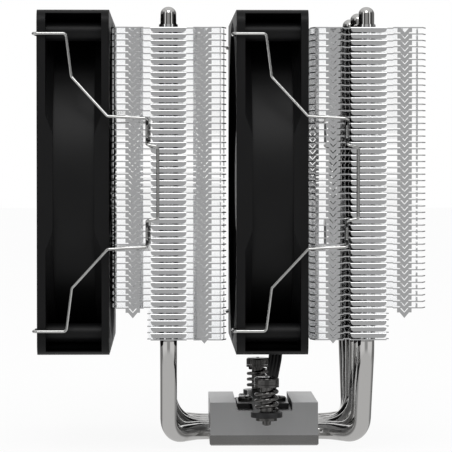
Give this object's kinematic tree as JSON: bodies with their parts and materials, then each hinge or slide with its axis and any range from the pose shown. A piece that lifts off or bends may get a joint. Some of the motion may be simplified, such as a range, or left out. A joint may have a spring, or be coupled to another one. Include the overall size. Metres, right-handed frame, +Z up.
{
  "type": "cpu tower cooler",
  "caption": "Dual-tower processor cooler: finned stacks on bent heat pipes, clipped-on fans and a spring-screw base.",
  "frame": {"origin": "centre of the cold plate's contact face", "axes": "+Z up, away from the processor; +X the way the air blows; +Y across the cooler"},
  "size_m": [0.1364, 0.2177, 0.1568],
  "materials": {
    "fin_aluminium": "thin rolled sheet, satin",
    "pipe_nickel": "nickel plated, polished",
    "plate_nickel": "nickel plated, fine ground",
    "block_aluminium": "machined, satin",
    "bar_black": "semi-gloss black plating",
    "screw_steel": "dark nickel plated",
    "spring_steel": "dark nickel plated wire",
    "clip_steel": "bright spring wire",
    "fan_plastic": "fine textured moulding",
    "blade_plastic": "satin moulding",
    "label_film": "satin printed film, blank",
    "magnet_ferrite": "bonded ferrite, matte",
    "shaft_steel": "ground",
    "bearing_bronze": "sintered, oiled",
    "core_steel": "stacked laminations",
    "coil_copper": "enamelled wire",
    "board_green": "solder mask",
    "lead_black": "satin insulation",
    "connector_black": "moulded",
    "tie_black": "coated wire tie"
  },
  "bodies": {
    "heatsink": {"front_fin_stack": "fin_aluminium", "rear_fin_stack": "fin_aluminium", "heat_pipe_1": "pipe_nickel", "heat_pipe_2": "pipe_nickel", "heat_pipe_3": "pipe_nickel", "heat_pipe_4": "pipe_nickel", "heat_pipe_5": "pipe_nickel", "heat_pipe_6": "pipe_nickel", "cold_plate": "plate_nickel", "base_block": "block_aluminium", "mounting_crossbar": "bar_black", "crossbar_screws": "screw_steel", "near_spring": "spring_steel", "far_spring": "spring_steel", "middle_fan_lead": "lead_black", "middle_fan_lead_hank": "lead_black", "middle_fan_lead_tie": "tie_black", "middle_fan_lead_connector": "connector_black"},
    "front_fan": {"front_fan_frame": "fan_plastic", "front_fan_sleeve_bearing": "bearing_bronze", "front_fan_stator_core": "core_steel", "front_fan_windings": "coil_copper", "front_fan_circuit_board": "board_green"},
    "front_impeller": {"front_fan_impeller": "blade_plastic", "front_fan_hub_label": "label_film", "front_fan_magnet_ring": "magnet_ferrite", "front_fan_motor_shaft": "shaft_steel", "front_fan_shaft_clip": "shaft_steel"},
    "front_clip_near": {"front_fan_clip_near": "clip_steel"},
    "front_clip_far": {"front_fan_clip_far": "clip_steel"},
    "middle_fan": {"middle_fan_frame": "fan_plastic", "middle_fan_sleeve_bearing": "bearing_bronze", "middle_fan_stator_core": "core_steel", "middle_fan_windings": "coil_copper", "middle_fan_circuit_board": "board_green"},
    "middle_impeller": {"middle_fan_impeller": "blade_plastic", "middle_fan_hub_label": "label_film", "middle_fan_magnet_ring": "magnet_ferrite", "middle_fan_motor_shaft": "shaft_steel", "middle_fan_shaft_clip": "shaft_steel"},
    "middle_clip_near": {"middle_fan_clip_near": "clip_steel"},
    "middle_clip_far": {"middle_fan_clip_far": "clip_steel"},
    "near_washer": {"near_thrust_washer": "screw_steel"},
    "near_screw": {"near_spring_screw": "screw_steel", "near_retaining_ring": "screw_steel"},
    "far_washer": {"far_thrust_washer": "screw_steel"},
    "far_screw": {"far_spring_screw": "screw_steel", "far_retaining_ring": "screw_steel"}
  },
  "joints": [
    {"name": "front_fan_height", "type": "slide", "parent": "heatsink", "child": "front_fan", "axis": [0, 0, 1], "range_m": [0, 0.02]},
    {"name": "front_impeller_spin", "type": "hinge", "parent": "front_fan", "child": "front_impeller", "pos_m": [-0.0677, 0, 0.0955], "axis": [1, 0, 0], "continuous": true},
    {"name": "front_clip_near_swing", "type": "hinge", "parent": "front_fan", "child": "front_clip_near", "pos_m": [-0.0813, -0.0525, 0.0955], "axis": [0, 0, -1], "range_deg": [0, 18]},
    {"name": "front_clip_far_swing", "type": "hinge", "parent": "front_fan", "child": "front_clip_far", "pos_m": [-0.0813, 0.0525, 0.0955], "axis": [0, 0, 1], "range_deg": [0, 18]},
    {"name": "middle_fan_height", "type": "slide", "parent": "heatsink", "child": "middle_fan", "axis": [0, 0, 1], "range_m": [0, 0.02]},
    {"name": "middle_impeller_spin", "type": "hinge", "parent": "middle_fan", "child": "middle_impeller", "pos_m": [0.0015, 0, 0.0955], "axis": [1, 0, 0], "continuous": true},
    {"name": "middle_clip_near_swing", "type": "hinge", "parent": "middle_fan", "child": "middle_clip_near", "pos_m": [-0.0121, -0.0525, 0.0955], "axis": [0, 0, -1], "range_deg": [0, 9]},
    {"name": "middle_clip_far_swing", "type": "hinge", "parent": "middle_fan", "child": "middle_clip_far", "pos_m": [-0.0121, 0.0525, 0.0955], "axis": [0, 0, 1], "range_deg": [0, 9]},
    {"name": "near_spring_travel", "type": "slide", "parent": "heatsink", "child": "near_washer", "axis": [0, 0, -1], "range_m": [0, 0.0035], "stiffness_N_per_m": 4000, "deforming": ["near_spring"]},
    {"name": "near_screw_turn", "type": "hinge", "parent": "near_washer", "child": "near_screw", "pos_m": [0, -0.045, 0.02], "axis": [0, 0, 1], "continuous": true},
    {"name": "far_spring_travel", "type": "slide", "parent": "heatsink", "child": "far_washer", "axis": [0, 0, -1], "range_m": [0, 0.0035], "stiffness_N_per_m": 4000, "deforming": ["far_spring"]},
    {"name": "far_screw_turn", "type": "hinge", "parent": "far_washer", "child": "far_screw", "pos_m": [0, 0.045, 0.02], "axis": [0, 0, 1], "continuous": true}
  ]
}
